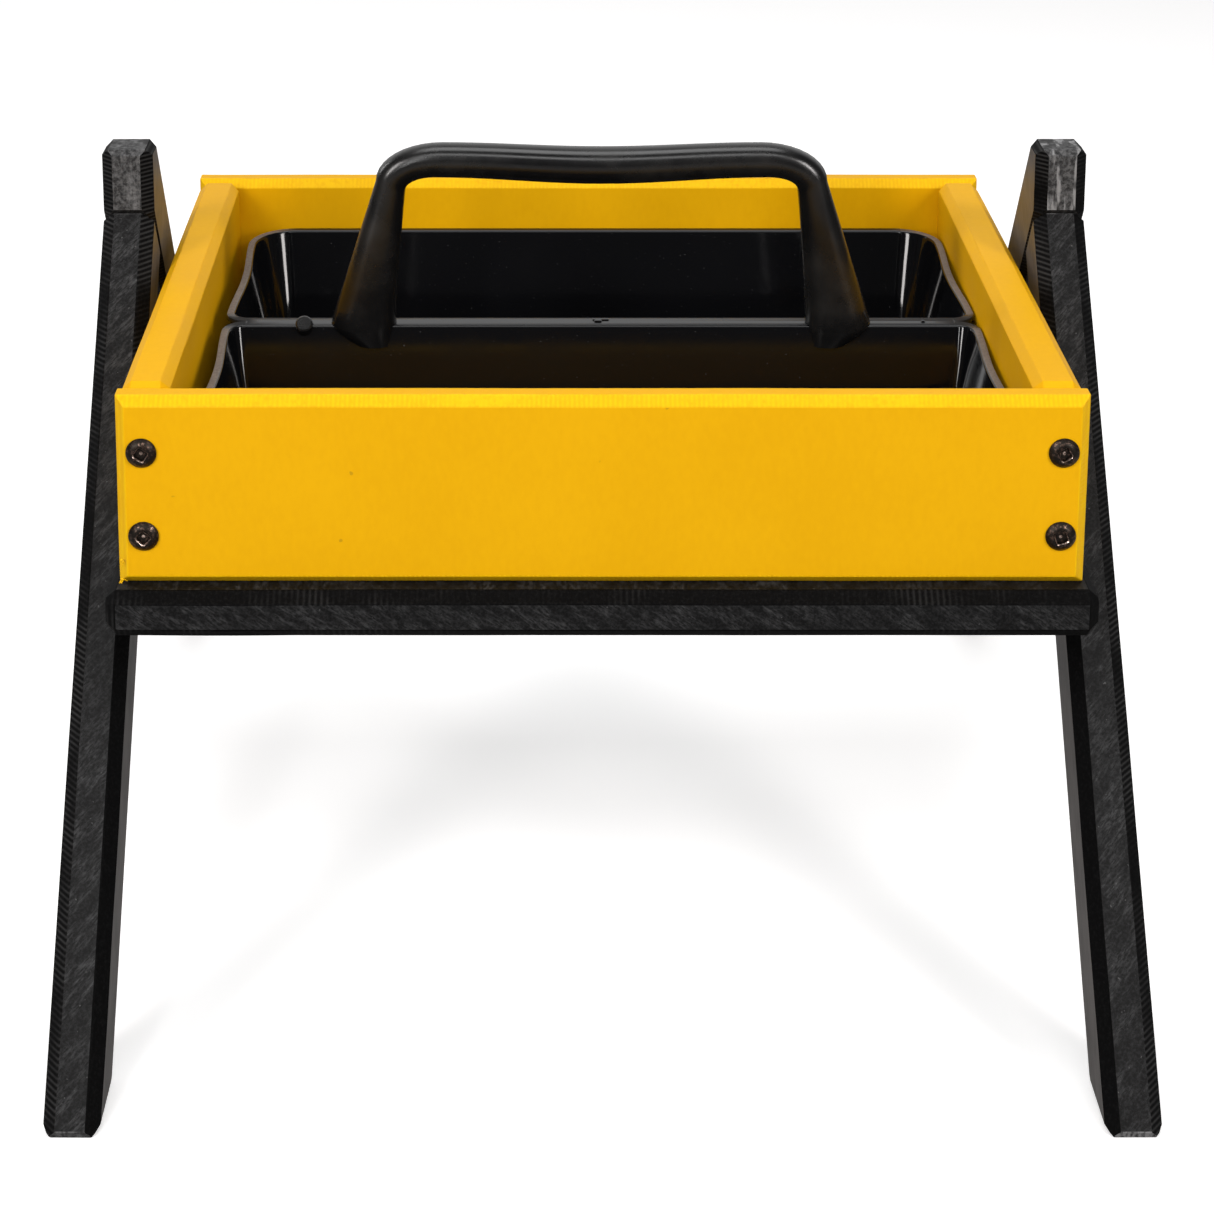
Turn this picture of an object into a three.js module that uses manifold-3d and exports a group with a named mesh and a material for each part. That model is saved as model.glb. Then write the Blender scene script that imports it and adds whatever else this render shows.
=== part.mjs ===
// Free-standing tool tray on a two-frame trestle, with a lift-out two-compartment caddy.
// Millimetres, +Z up. The origin is on the floor, midway between the feet: X runs across
// the tray, Y runs from the front feet (negative) to the rear feet (positive).
import * as THREE from "three";
import { mergeVertices } from "three/addons/utils/BufferGeometryUtils.js";
import Module from "manifold-3d";

// ---- Driving dimensions -------------------------------------------------------------
const FIT_GAP = 0.3; // clearance left between faces that rest on each other

// Trestle legs: bars that lean in the Y-Z plane and meet at the top.
const LEG_LEAN = THREE.MathUtils.degToRad(35.95); // from the vertical
const LEG_DEPTH = 40.7; // across the bar, in the plane of the frame
const LEG_INNER_X = 241.8;
const LEG_OUTER_X = 269.7;
const LEG_EDGE = 6.2; // chamfer along the bar
const FOOT_REACH = 298.4; // from the centre to the tip of a foot
const END_CUT = 5.6; // corners taken off a cut end, measured along each face
const END_EDGE = 3.8; // chamfer along the sides of a cut end
const CAP_CUT = 2.8; // the same as END_CUT, round the level top
const JOINT_EDGE = 1.2; // the rear leg is only eased along the side that meets the front leg
const CAP_TOP = 412.5; // the rear leg is cut level here
const CAP_PROUD = 1.5; // how far the rear leg's end stands ahead of the front leg

// Shelf board between the legs.
const SHELF_TOP = 252;
const SHELF_THICK = 24;
const SHELF_FRONT = -232;
const SHELF_REAR = 147;
const SHELF_EDGE = 5.2;

// Tray: four boards screwed at the corners.
const TRAY_WIDTH = 470;
const TRAY_FRONT = -222;
const TRAY_REAR = 137;
const TRAY_TOP = 349;
const END_BOARD = 17; // thickness of the front and rear boards
const SIDE_BOARD = 23.5;
const SIDE_INSET = 1; // the side boards sit this far inside the ends of the front board
const TRAY_EDGE = 4.5;

// Caddy tub, a little off centre in the tray, as it sits loose.
const CADDY_X = 3.5;
const CADDY_Y = (TRAY_FRONT + TRAY_REAR) / 2;
const TUB_WIDTH = 411.5;
const TUB_DEPTH = 316;
const TUB_RIM = 320.5;
const TUB_BASE = SHELF_TOP + FIT_GAP;
const LIP_WIDTH = 5.6;
const LIP_THICK = 3;
const WALL = 2.5;
const FLOOR = 3;
const TUB_DRAFT = 12; // how far the walls lean in between rim and base
const RIDGE_WIDTH = 13; // top of the divider
const OUTER_CORNER = 28;
const INNER_CORNER = 12;

// Caddy handle.
const GRIP_RADIUS = 9.7;
const GRIP_TOP = 422;
const GRIP_SAG = 3;
const STEM_X = 111.5; // centre line of each upright where it meets the shoulder
const SHOULDER_RADIUS = 24;
const FOOT_X = 129.7; // centre of each flared foot
const FOOT_HALF_X = 18;
const FOOT_HALF_Y = 14;
const FOOT_SKIRT = 11.4; // how far a foot reaches below the top of the divider

// Screws: washer head with a square recess.
const HEAD_RADIUS = 7.5;
const HEAD_HEIGHT = 3.2;
const SHANK_RADIUS = 2.4;
const RECESS = 4.6;
const RECESS_DEPTH = 2.2;
const SCREW_SIDES = 16;

const YELLOW = { color: 0xf0b400, roughness: 0.45, metalness: 0 };
const BLACK_BOARD = { color: 0x2a2a2b, roughness: 0.7, metalness: 0 };
const GLOSS_BLACK = { color: 0x101011, roughness: 0.18, metalness: 0 };
const SATIN_BLACK = { color: 0x181818, roughness: 0.4, metalness: 0 };
const BLACK_OXIDE = { color: 0x241f1c, roughness: 0.35, metalness: 0.9 };

// ---- Solids ---------------------------------------------------------------------------
const wasm = await Module();
wasm.setup();

// A closed geometry as a manifold-3d solid.
function solid(geometry) {
  const bare = geometry.clone();
  bare.deleteAttribute("normal");
  bare.deleteAttribute("uv");
  const merged = mergeVertices(bare, 1e-4);
  return new wasm.Manifold(
    new wasm.Mesh({
      numProp: 3,
      vertProperties: Float32Array.from(merged.attributes.position.array),
      triVerts: Uint32Array.from(merged.index.array),
    }),
  );
}

// A manifold-3d solid as an indexed geometry.
function geometryOf(body) {
  const { vertProperties, triVerts } = body.getMesh();
  const geometry = new THREE.BufferGeometry();
  geometry.setAttribute("position", new THREE.BufferAttribute(vertProperties, 3));
  geometry.setIndex(new THREE.BufferAttribute(triVerts, 1));
  geometry.computeVertexNormals();
  return geometry;
}

function meshOf(name, body, finish) {
  const mesh = new THREE.Mesh(geometryOf(body), new THREE.MeshStandardMaterial(finish));
  mesh.name = name;
  return mesh;
}

// Replaces each corner of a closed outline by two points, its own distance back along each
// side. A corner whose distance is 0 stays sharp.
function cutCorners(points, distances) {
  return points.flatMap((corner, i) => {
    if (distances[i] === 0) return [corner];
    const before = points[(i + points.length - 1) % points.length];
    const after = points[(i + 1) % points.length];
    return [before, after].map((end) =>
      corner.clone().add(end.clone().sub(corner).setLength(distances[i])),
    );
  });
}

function allCorners(distance) {
  return [distance, distance, distance, distance];
}

// An outline extruded to a depth with a one-step chamfer round both ends.
function bevelledExtrusion(points, depth, chamfer) {
  return new THREE.ExtrudeGeometry(new THREE.Shape(points), {
    depth: depth - 2 * chamfer,
    bevelEnabled: chamfer > 0,
    bevelSegments: 1,
    bevelSize: chamfer,
    bevelThickness: chamfer,
    bevelOffset: -chamfer,
  }).translate(0, 0, chamfer);
}

// Turns an extrusion so that its outline lies in the Y-Z plane and its depth runs along +X.
function alongX(geometry) {
  const turn = new THREE.Matrix4().makeBasis(
    new THREE.Vector3(0, 1, 0),
    new THREE.Vector3(0, 0, 1),
    new THREE.Vector3(1, 0, 0),
  );
  return geometry.applyMatrix4(turn);
}

// A box between two corners, with every edge chamfered.
function board(low, high, chamfer) {
  const outline = [
    new THREE.Vector2(low.y, low.z),
    new THREE.Vector2(high.y, low.z),
    new THREE.Vector2(high.y, high.z),
    new THREE.Vector2(low.y, high.z),
  ];
  const section = cutCorners(outline, allCorners(chamfer));
  const body = bevelledExtrusion(section, high.x - low.x, chamfer);
  return solid(alongX(body).translate(low.x, 0, 0));
}

// A box between two corners, chamfered on its long and its upright edges only.
function endBoard(low, high, chamfer) {
  const section = [
    new THREE.Vector2(low.y, low.z),
    new THREE.Vector2(high.y, low.z),
    new THREE.Vector2(high.y, high.z),
    new THREE.Vector2(low.y, high.z),
  ];
  const plan = [
    new THREE.Vector2(low.x, low.y),
    new THREE.Vector2(high.x, low.y),
    new THREE.Vector2(high.x, high.y),
    new THREE.Vector2(low.x, high.y),
  ];
  const cuts = allCorners(chamfer);
  const along = alongX(bevelledExtrusion(cutCorners(section, cuts), high.x - low.x, 0));
  const upright = bevelledExtrusion(cutCorners(plan, cuts), high.z - low.z + 2, 0);
  return solid(along.translate(low.x, 0, 0)).intersect(
    solid(upright.translate(0, 0, low.z - 1)),
  );
}

// ---- Screws ---------------------------------------------------------------------------
// Head underside at the origin, head towards +Z, shank towards -Z.
function screwBody(length) {
  const profile = [
    new THREE.Vector2(0, -length),
    new THREE.Vector2(SHANK_RADIUS, 4 - length),
    new THREE.Vector2(SHANK_RADIUS, 0),
    new THREE.Vector2(HEAD_RADIUS, 0),
    new THREE.Vector2(HEAD_RADIUS, 0.9),
    new THREE.Vector2(0.66 * HEAD_RADIUS, 0.86 * HEAD_HEIGHT),
    new THREE.Vector2(0, HEAD_HEIGHT),
  ];
  const turned = new THREE.LatheGeometry(profile, SCREW_SIDES).rotateX(Math.PI / 2);
  const recess = new THREE.BoxGeometry(RECESS, RECESS, 2 * RECESS_DEPTH);
  return solid(turned).subtract(solid(recess.translate(0, 0, HEAD_HEIGHT)));
}

// The turn that takes +Z to a direction.
function facing(direction) {
  return new THREE.Quaternion().setFromUnitVectors(
    new THREE.Vector3(0, 0, 1),
    direction.clone().normalize(),
  );
}

// Each seat is where a screw enters its piece, the way its head faces, its length and how
// deep the head is sunk in a counterbore.
function seat(name, x, y, z, direction, length, sink = 0) {
  return { name, place: new THREE.Vector3(x, y, z), direction, length, sink };
}

function screw({ name, place, direction, length, sink }) {
  const mesh = meshOf(name, screwBody(length), BLACK_OXIDE);
  mesh.quaternion.copy(facing(direction));
  mesh.position.copy(place).addScaledVector(direction, FIT_GAP - sink);
  return mesh;
}

// A round hole from a millimetre above a seat down to a depth below it.
function hole({ place, direction }, radius, depth) {
  const drill = new THREE.CylinderGeometry(radius, radius, depth + 1, SCREW_SIDES)
    .rotateX(Math.PI / 2)
    .translate(0, 0, (1 - depth) / 2)
    .applyQuaternion(facing(direction))
    .translate(place.x, place.y, place.z);
  return solid(drill);
}

function drilled(body, seats) {
  return seats.reduce((left, one) => {
    const depth = one.sink + one.length + 1;
    const bored = left.subtract(hole(one, SHANK_RADIUS + FIT_GAP, depth));
    return one.sink ? bored.subtract(hole(one, HEAD_RADIUS + FIT_GAP, one.sink)) : bored;
  }, body);
}

// ---- Legs -----------------------------------------------------------------------------
const SLOPE = Math.tan(LEG_LEAN);
const LEG_RUN = LEG_DEPTH / Math.cos(LEG_LEAN); // depth of a leg measured level
const APEX_Y = -LEG_RUN / 2; // where the front leg's front face meets the rear leg's
const APEX_Z = (FOOT_REACH - LEG_RUN / 2) / SLOPE;
const CROTCH_Z = (FOOT_REACH - LEG_RUN) / SLOPE;
const ALONG_LEG = new THREE.Vector2(Math.sin(LEG_LEAN), Math.cos(LEG_LEAN));
const INTO_LEG = new THREE.Vector2(Math.cos(LEG_LEAN), -Math.sin(LEG_LEAN));
const BAR_LENGTH = 700;

// The bar that a front leg is cut from: an eight-sided section, swept up the lean. Its rear
// side, which is the lower side of a rear leg, has its own chamfer.
function barStock(rearEdge) {
  const width = LEG_OUTER_X - LEG_INNER_X;
  const section = cutCorners(
    [
      new THREE.Vector2(0, 0),
      new THREE.Vector2(width, 0),
      new THREE.Vector2(width, LEG_DEPTH),
      new THREE.Vector2(0, LEG_DEPTH),
    ],
    [LEG_EDGE, LEG_EDGE, rearEdge, rearEdge],
  );
  const bar = bevelledExtrusion(section, BAR_LENGTH, 0).translate(0, 0, -BAR_LENGTH / 4);
  const lean = new THREE.Matrix4().makeBasis(
    new THREE.Vector3(1, 0, 0),
    new THREE.Vector3(0, INTO_LEG.x, INTO_LEG.y),
    new THREE.Vector3(0, ALONG_LEG.x, ALONG_LEG.y),
  );
  return solid(bar.applyMatrix4(lean).translate(LEG_INNER_X, -FOOT_REACH, 0));
}

// A prism of a side outline across the leg's full width, chamfered at both sides.
function sideCut(points, chamfer) {
  const width = LEG_OUTER_X - LEG_INNER_X;
  return solid(
    alongX(bevelledExtrusion(points, width, chamfer)).translate(LEG_INNER_X, 0, 0),
  );
}

// Side outline of the front leg, run on past the joint: the joint cut trims it.
function frontOutline() {
  const overrun = (APEX_Z + 60) * SLOPE;
  return cutCorners(
    [
      new THREE.Vector2(-FOOT_REACH, 0),
      new THREE.Vector2(LEG_RUN - FOOT_REACH, 0),
      new THREE.Vector2(LEG_RUN - FOOT_REACH + overrun, APEX_Z + 60),
      new THREE.Vector2(-FOOT_REACH + overrun, APEX_Z + 60),
    ],
    allCorners(END_CUT),
  );
}

// Side outline of the rear leg, whose top is cut upright in front and level above.
function rearOutline() {
  const capY = APEX_Y - CAP_PROUD;
  const capBottom = (FOOT_REACH - LEG_RUN - capY) / SLOPE;
  return cutCorners(
    [
      new THREE.Vector2(FOOT_REACH - LEG_RUN, 0),
      new THREE.Vector2(FOOT_REACH, 0),
      new THREE.Vector2(FOOT_REACH - CAP_TOP * SLOPE, CAP_TOP),
      new THREE.Vector2(capY, CAP_TOP),
      new THREE.Vector2(capY, capBottom),
    ],
    [END_CUT, END_CUT, CAP_CUT, CAP_CUT, 0],
  );
}

// Everything above the lower face of the rear leg, for trimming the front leg's top.
function aboveJoint() {
  const lift = FIT_GAP / Math.sin(LEG_LEAN);
  const reach = 200;
  return sideCut(
    [
      new THREE.Vector2(reach, CROTCH_Z - lift - reach / SLOPE),
      new THREE.Vector2(reach, CROTCH_Z + 2 * reach),
      new THREE.Vector2(-reach, CROTCH_Z + 2 * reach),
      new THREE.Vector2(-reach, CROTCH_Z - lift + reach / SLOPE),
    ],
    0,
  );
}

function frontLeg() {
  const bar = barStock(LEG_EDGE);
  return bar.intersect(sideCut(frontOutline(), END_EDGE)).subtract(aboveJoint());
}

function rearLeg() {
  const bar = barStock(JOINT_EDGE).mirror([0, 1, 0]);
  const capDepth = APEX_Y - CAP_PROUD;
  const edge = LEG_EDGE;
  // The long edges of the upright end face are eased like the bar's own.
  const face = [
    new THREE.Vector2(LEG_INNER_X + edge, capDepth),
    new THREE.Vector2(LEG_OUTER_X - edge, capDepth),
    new THREE.Vector2(LEG_OUTER_X, capDepth + edge),
    new THREE.Vector2(LEG_OUTER_X, FOOT_REACH),
    new THREE.Vector2(LEG_INNER_X, FOOT_REACH),
    new THREE.Vector2(LEG_INNER_X, capDepth + edge),
  ];
  const column = solid(bevelledExtrusion(face, CAP_TOP + 1, 0).translate(0, 0, -0.5));
  return bar.intersect(sideCut(rearOutline(), END_EDGE)).intersect(column);
}

// ---- Screw seats ------------------------------------------------------------------------
const FORWARD = new THREE.Vector3(0, -1, 0);
const BACKWARD = new THREE.Vector3(0, 1, 0);
const DOWN = new THREE.Vector3(0, 0, -1);
const SIDES = [
  { side: "left", sign: -1 },
  { side: "right", sign: 1 },
];

const SIDE_OUTER_X = TRAY_WIDTH / 2 - SIDE_INSET;
const SIDE_MIDDLE_X = SIDE_OUTER_X - SIDE_BOARD / 2;
const CORNER_SCREW_LOW = 278;
const CORNER_SCREW_HIGH = 321;
const CORNER_SCREW_LENGTH = 50;

function cornerSeats() {
  return SIDES.flatMap(({ side, sign }) =>
    [
      ["upper", CORNER_SCREW_HIGH],
      ["lower", CORNER_SCREW_LOW],
    ].flatMap(([level, z]) => {
      const x = sign * SIDE_MIDDLE_X;
      const length = CORNER_SCREW_LENGTH;
      return [
        seat(`front_screw_${side}_${level}`, x, TRAY_FRONT, z, FORWARD, length),
        seat(`rear_screw_${side}_${level}`, x, TRAY_REAR, z, BACKWARD, length),
      ];
    }),
  );
}

const LEG_SCREW_SPREAD = 9; // along the leg, to either side of the shelf's middle
const LEG_SCREW_LENGTH = 65;
const LEG_SCREW_SINK = 3.4; // counterbored, so that the heads lie just under the face
const SHELF_MIDDLE_Z = SHELF_TOP - SHELF_THICK / 2;
const LEG_AT_SHELF_Y = FOOT_REACH - SHELF_MIDDLE_Z * SLOPE - LEG_RUN / 2;

function shelfSeats() {
  return SIDES.flatMap(({ side, sign }) =>
    [
      ["front", -1],
      ["rear", 1],
    ].flatMap(([end, way]) =>
      [-1, 1].map((step, i) =>
        seat(
          `${end}_leg_screw_${side}_${i + 1}`,
          sign * LEG_OUTER_X,
          way * (LEG_AT_SHELF_Y - step * LEG_SCREW_SPREAD * ALONG_LEG.x),
          SHELF_MIDDLE_Z + step * LEG_SCREW_SPREAD * ALONG_LEG.y,
          new THREE.Vector3(sign, 0, 0),
          LEG_SCREW_LENGTH,
          LEG_SCREW_SINK,
        ),
      ),
    ),
  );
}

// Two screws down through the rear leg into the end of the front leg, square to the joint.
const APEX_SCREW_SPREAD = 10;
const APEX_SCREW_LENGTH = 58;

function apexSeats() {
  const outward = new THREE.Vector3(0, Math.cos(LEG_LEAN), Math.sin(LEG_LEAN));
  const downRear = new THREE.Vector2(Math.sin(LEG_LEAN), -Math.cos(LEG_LEAN));
  const jointMiddle = new THREE.Vector2(APEX_Y / 2, (APEX_Z + CROTCH_Z) / 2);
  return SIDES.flatMap(({ side, sign }) =>
    [-1, 1].map((step, i) => {
      const y = jointMiddle.x + outward.y * LEG_DEPTH + step * APEX_SCREW_SPREAD * downRear.x;
      const z = jointMiddle.y + outward.z * LEG_DEPTH + step * APEX_SCREW_SPREAD * downRear.y;
      const x = (sign * (LEG_INNER_X + LEG_OUTER_X)) / 2;
      return seat(`apex_screw_${side}_${i + 1}`, x, y, z, outward, APEX_SCREW_LENGTH);
    }),
  );
}

// Screws up through the shelf into the side boards.
const TRAY_SCREW_STEP = 110;
const TRAY_SCREW_LENGTH = 60;

function traySeats() {
  return SIDES.flatMap(({ side, sign }) =>
    [-1, 0, 1].map((step, i) =>
      seat(
        `tray_screw_${side}_${i + 1}`,
        sign * SIDE_MIDDLE_X,
        CADDY_Y + step * TRAY_SCREW_STEP,
        SHELF_TOP - SHELF_THICK,
        DOWN,
        TRAY_SCREW_LENGTH,
      ),
    ),
  );
}

const CORNERS = cornerSeats();
const LEG_SCREWS = shelfSeats();
const APEXES = apexSeats();
const TRAY_SCREWS = traySeats();

function named(seats, text) {
  return seats.filter(({ name }) => name.includes(text));
}

// ---- Caddy ------------------------------------------------------------------------------
// A round plug pressed into the front top edge of the divider, leaning forwards.
const PEG_X = -161.5;
const PEG_RADIUS = 4.7;
const PEG_LENGTH = 11;
const PEG_LEAN = THREE.MathUtils.degToRad(44); // from the vertical
const PEG_PROUD = 3; // how far its face stands out past the edge of the divider
const PEG_SIDES = 20;

function pegCylinder(radius, length, ease) {
  const profile = [
    new THREE.Vector2(0, PEG_PROUD - length),
    new THREE.Vector2(radius, PEG_PROUD - length),
    new THREE.Vector2(radius, PEG_PROUD - ease),
    new THREE.Vector2(radius - ease, PEG_PROUD),
    new THREE.Vector2(0, PEG_PROUD),
  ];
  const turned = new THREE.LatheGeometry(profile, PEG_SIDES);
  turned.rotateX(Math.PI / 2 + PEG_LEAN);
  return solid(turned.translate(PEG_X, -RIDGE_WIDTH / 2, TUB_RIM));
}

const TUB_HALF = TUB_WIDTH / 2;
const TUB_CORNER_STEPS = 7;

// One compartment's rectangle, measured from the divider: `side` is -1 for the front
// compartment and 1 for the rear, and `inset` shrinks it on every side.
function compartmentShape(side, inset) {
  const near = RIDGE_WIDTH / 2 - LIP_WIDTH + inset;
  const far = TUB_DEPTH / 2 - inset;
  const half = TUB_HALF - inset;
  const round = (radius) => Math.max(radius - inset, 2);
  const corners = [
    [half, near, round(INNER_CORNER), -Math.PI / 2],
    [half, far, round(OUTER_CORNER), 0],
    [-half, far, round(OUTER_CORNER), Math.PI / 2],
    [-half, near, round(INNER_CORNER), Math.PI],
  ];
  const points = corners.flatMap(([x, y, radius, start]) => {
    const centreX = x - Math.sign(x) * radius;
    const centreY = y + (y === near ? radius : -radius);
    return Array.from({ length: TUB_CORNER_STEPS }, (_, i) => {
      const angle = start + ((Math.PI / 2) * i) / (TUB_CORNER_STEPS - 1);
      return new THREE.Vector2(
        centreX + radius * Math.cos(angle),
        centreY + radius * Math.sin(angle),
      );
    });
  });
  const mirrored = points.map((p) => new THREE.Vector2(p.x, side * p.y));
  return side > 0 ? mirrored : mirrored.reverse();
}

// A compartment's prism from `low` to `high` whose walls lean in by the draft.
function draftedPrism(side, inset, low, high) {
  const middleY = side * (TUB_DEPTH / 4 + RIDGE_WIDTH / 4 - LIP_WIDTH / 2);
  const geometry = bevelledExtrusion(compartmentShape(side, inset), high - low, 0);
  const place = geometry.attributes.position;
  const halfY = TUB_DEPTH / 4;
  for (let i = 0; i < place.count; i++) {
    const z = low + place.getZ(i);
    const lean = (TUB_DRAFT * (TUB_RIM - z)) / (TUB_RIM - TUB_BASE);
    place.setX(i, place.getX(i) * (1 - lean / TUB_HALF));
    place.setY(i, middleY + (place.getY(i) - middleY) * (1 - lean / halfY));
    place.setZ(i, z);
  }
  return solid(geometry);
}

// The flat lip round one compartment, still without its opening.
function lipPlate(side) {
  const geometry = bevelledExtrusion(compartmentShape(side, 0), LIP_THICK, 0);
  return solid(geometry.translate(0, 0, TUB_RIM - LIP_THICK));
}

function caddyTub() {
  const lean = LIP_WIDTH - WALL;
  let tub = solid(
    new THREE.BoxGeometry(2 * (TUB_HALF - 9), RIDGE_WIDTH, LIP_THICK).translate(
      0,
      0,
      TUB_RIM - LIP_THICK / 2,
    ),
  );
  for (const side of [-1, 1]) {
    tub = tub.add(lipPlate(side));
    tub = tub.add(draftedPrism(side, lean, TUB_BASE, TUB_RIM - 1));
  }
  for (const side of [-1, 1]) {
    tub = tub.subtract(draftedPrism(side, LIP_WIDTH, TUB_BASE + FLOOR, TUB_RIM + 1));
  }
  return tub.subtract(pegCylinder(PEG_RADIUS + FIT_GAP, PEG_LENGTH + 1, 0.01));
}

// A foot: it spreads and leans outwards as far down as the rim, then narrows to a skirt.
const STEM_TOP = GRIP_TOP - GRIP_RADIUS - SHOULDER_RADIUS;
const FOOT_BOTTOM = TUB_RIM - FOOT_SKIRT;
const FOOT_RINGS = 7; // the lowest ring is the skirt
const SKIRT_SHIFT = 6; // the skirt's middle is this much nearer the centre than the foot's
const SKIRT_HALF_X = 11;

function handleFoot(sign) {
  const height = STEM_TOP - FOOT_BOTTOM;
  const geometry = new THREE.CylinderGeometry(1, 1, height, 24, FOOT_RINGS);
  geometry.rotateX(Math.PI / 2).translate(0, 0, FOOT_BOTTOM + height / 2);
  const place = geometry.attributes.position;
  for (let i = 0; i < place.count; i++) {
    const ring = (FOOT_RINGS * (place.getZ(i) - FOOT_BOTTOM)) / height;
    const z =
      ring <= 1
        ? THREE.MathUtils.lerp(FOOT_BOTTOM, TUB_RIM, ring)
        : THREE.MathUtils.lerp(TUB_RIM, STEM_TOP, (ring - 1) / (FOOT_RINGS - 1));
    const flare = Math.min((STEM_TOP - z) / (STEM_TOP - TUB_RIM), 1);
    const skirt = Math.max((TUB_RIM - z) / FOOT_SKIRT, 0);
    const halfX = THREE.MathUtils.lerp(GRIP_RADIUS, FOOT_HALF_X, flare);
    const halfY = THREE.MathUtils.lerp(GRIP_RADIUS, FOOT_HALF_Y, flare);
    const middle = THREE.MathUtils.lerp(STEM_X, FOOT_X, flare) - SKIRT_SHIFT * skirt;
    const width = THREE.MathUtils.lerp(halfX, SKIRT_HALF_X, skirt);
    place.setX(i, sign * middle + place.getX(i) * width);
    place.setY(i, place.getY(i) * halfY);
    place.setZ(i, z);
  }
  return solid(geometry);
}

// The grip's centre line: up a stem, round a shoulder, across with a slight sag, and down.
function gripPath() {
  const top = GRIP_TOP - GRIP_RADIUS;
  const bend = STEM_X - SHOULDER_RADIUS;
  const path = new THREE.CurvePath();
  const at = (x, z) => new THREE.Vector3(x, 0, z);
  path.add(new THREE.LineCurve3(at(-STEM_X, STEM_TOP - 12), at(-STEM_X, STEM_TOP)));
  path.add(
    new THREE.QuadraticBezierCurve3(at(-STEM_X, STEM_TOP), at(-STEM_X, top), at(-bend, top)),
  );
  path.add(
    new THREE.QuadraticBezierCurve3(at(-bend, top), at(0, top - 2 * GRIP_SAG), at(bend, top)),
  );
  path.add(new THREE.QuadraticBezierCurve3(at(bend, top), at(STEM_X, top), at(STEM_X, STEM_TOP)));
  path.add(new THREE.LineCurve3(at(STEM_X, STEM_TOP), at(STEM_X, STEM_TOP - 12)));
  return path;
}

// The room that the divider takes up inside the feet; it widens downwards with the draft.
function dividerSlot() {
  const drop = 2 * FOOT_SKIRT;
  const top = RIDGE_WIDTH / 2 + FIT_GAP;
  const bottom = top + (TUB_DRAFT * drop) / (TUB_RIM - TUB_BASE);
  const outline = [
    new THREE.Vector2(-bottom, TUB_RIM - drop),
    new THREE.Vector2(bottom, TUB_RIM - drop),
    new THREE.Vector2(top, TUB_RIM + FIT_GAP),
    new THREE.Vector2(-top, TUB_RIM + FIT_GAP),
  ];
  return solid(alongX(bevelledExtrusion(outline, 4 * FOOT_X, 0)).translate(-2 * FOOT_X, 0, 0));
}

function caddyHandle() {
  const circle = new THREE.Shape();
  circle.absarc(0, 0, GRIP_RADIUS, 0, 2 * Math.PI);
  const grip = new THREE.ExtrudeGeometry(circle, {
    extrudePath: gripPath(),
    steps: 36,
    curveSegments: 8,
  });
  return solid(grip).add(handleFoot(-1)).add(handleFoot(1)).subtract(dividerSlot());
}

// ---- Assembly ---------------------------------------------------------------------------
const organizer = new THREE.Group();
const stand = new THREE.Group();
const caddy = new THREE.Group();
organizer.add(stand, caddy);

const halfTray = TRAY_WIDTH / 2;
const trayBase = SHELF_TOP + FIT_GAP;
const sideFront = TRAY_FRONT + END_BOARD + FIT_GAP;
const sideRear = TRAY_REAR - END_BOARD - FIT_GAP;
const shelfHalf = LEG_INNER_X - FIT_GAP;

const frontBoard = endBoard(
  new THREE.Vector3(-halfTray, TRAY_FRONT, trayBase),
  new THREE.Vector3(halfTray, TRAY_FRONT + END_BOARD, TRAY_TOP),
  TRAY_EDGE,
);
const rearBoard = endBoard(
  new THREE.Vector3(-halfTray, TRAY_REAR - END_BOARD, trayBase),
  new THREE.Vector3(halfTray, TRAY_REAR, TRAY_TOP),
  TRAY_EDGE,
);
const shelf = board(
  new THREE.Vector3(-shelfHalf, SHELF_FRONT, SHELF_TOP - SHELF_THICK),
  new THREE.Vector3(shelfHalf, SHELF_REAR, SHELF_TOP),
  SHELF_EDGE,
);
stand.add(meshOf("front_board", drilled(frontBoard, named(CORNERS, "front")), YELLOW));
stand.add(meshOf("rear_board", drilled(rearBoard, named(CORNERS, "rear")), YELLOW));
stand.add(meshOf("shelf", drilled(shelf, [...LEG_SCREWS, ...TRAY_SCREWS]), BLACK_BOARD));

for (const { side, sign } of SIDES) {
  const inner = SIDE_OUTER_X - SIDE_BOARD;
  const [low, high] = [sign * inner, sign * SIDE_OUTER_X].sort((a, b) => a - b);
  const body = board(
    new THREE.Vector3(low, sideFront, trayBase),
    new THREE.Vector3(high, sideRear, TRAY_TOP),
    TRAY_EDGE,
  );
  const seats = named([...CORNERS, ...TRAY_SCREWS], side);
  stand.add(meshOf(`${side}_side_board`, drilled(body, seats), YELLOW));

  const own = (leg) => (sign > 0 ? leg : leg.mirror([1, 0, 0]));
  const legSeats = named([...LEG_SCREWS, ...APEXES], side);
  stand.add(meshOf(`front_leg_${side}`, drilled(own(frontLeg()), legSeats), BLACK_BOARD));
  stand.add(meshOf(`rear_leg_${side}`, drilled(own(rearLeg()), legSeats), BLACK_BOARD));
}

for (const one of [...CORNERS, ...LEG_SCREWS, ...APEXES, ...TRAY_SCREWS]) {
  stand.add(screw(one));
}

caddy.position.set(CADDY_X, CADDY_Y, 0);
caddy.add(meshOf("caddy_tub", caddyTub(), GLOSS_BLACK));
caddy.add(meshOf("caddy_handle", caddyHandle(), SATIN_BLACK));
caddy.add(meshOf("divider_peg", pegCylinder(PEG_RADIUS, PEG_LENGTH, 0.8), SATIN_BLACK));

export default organizer;
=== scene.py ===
"""Looks of a free-standing tool tray with a lift-out caddy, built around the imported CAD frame.

Everything is in metres in the frame's own axes: X across the tray, Y to the back, Z up.
"""

import math
import random

import bmesh
import bpy
from mathutils import Matrix, Vector, noise


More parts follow.
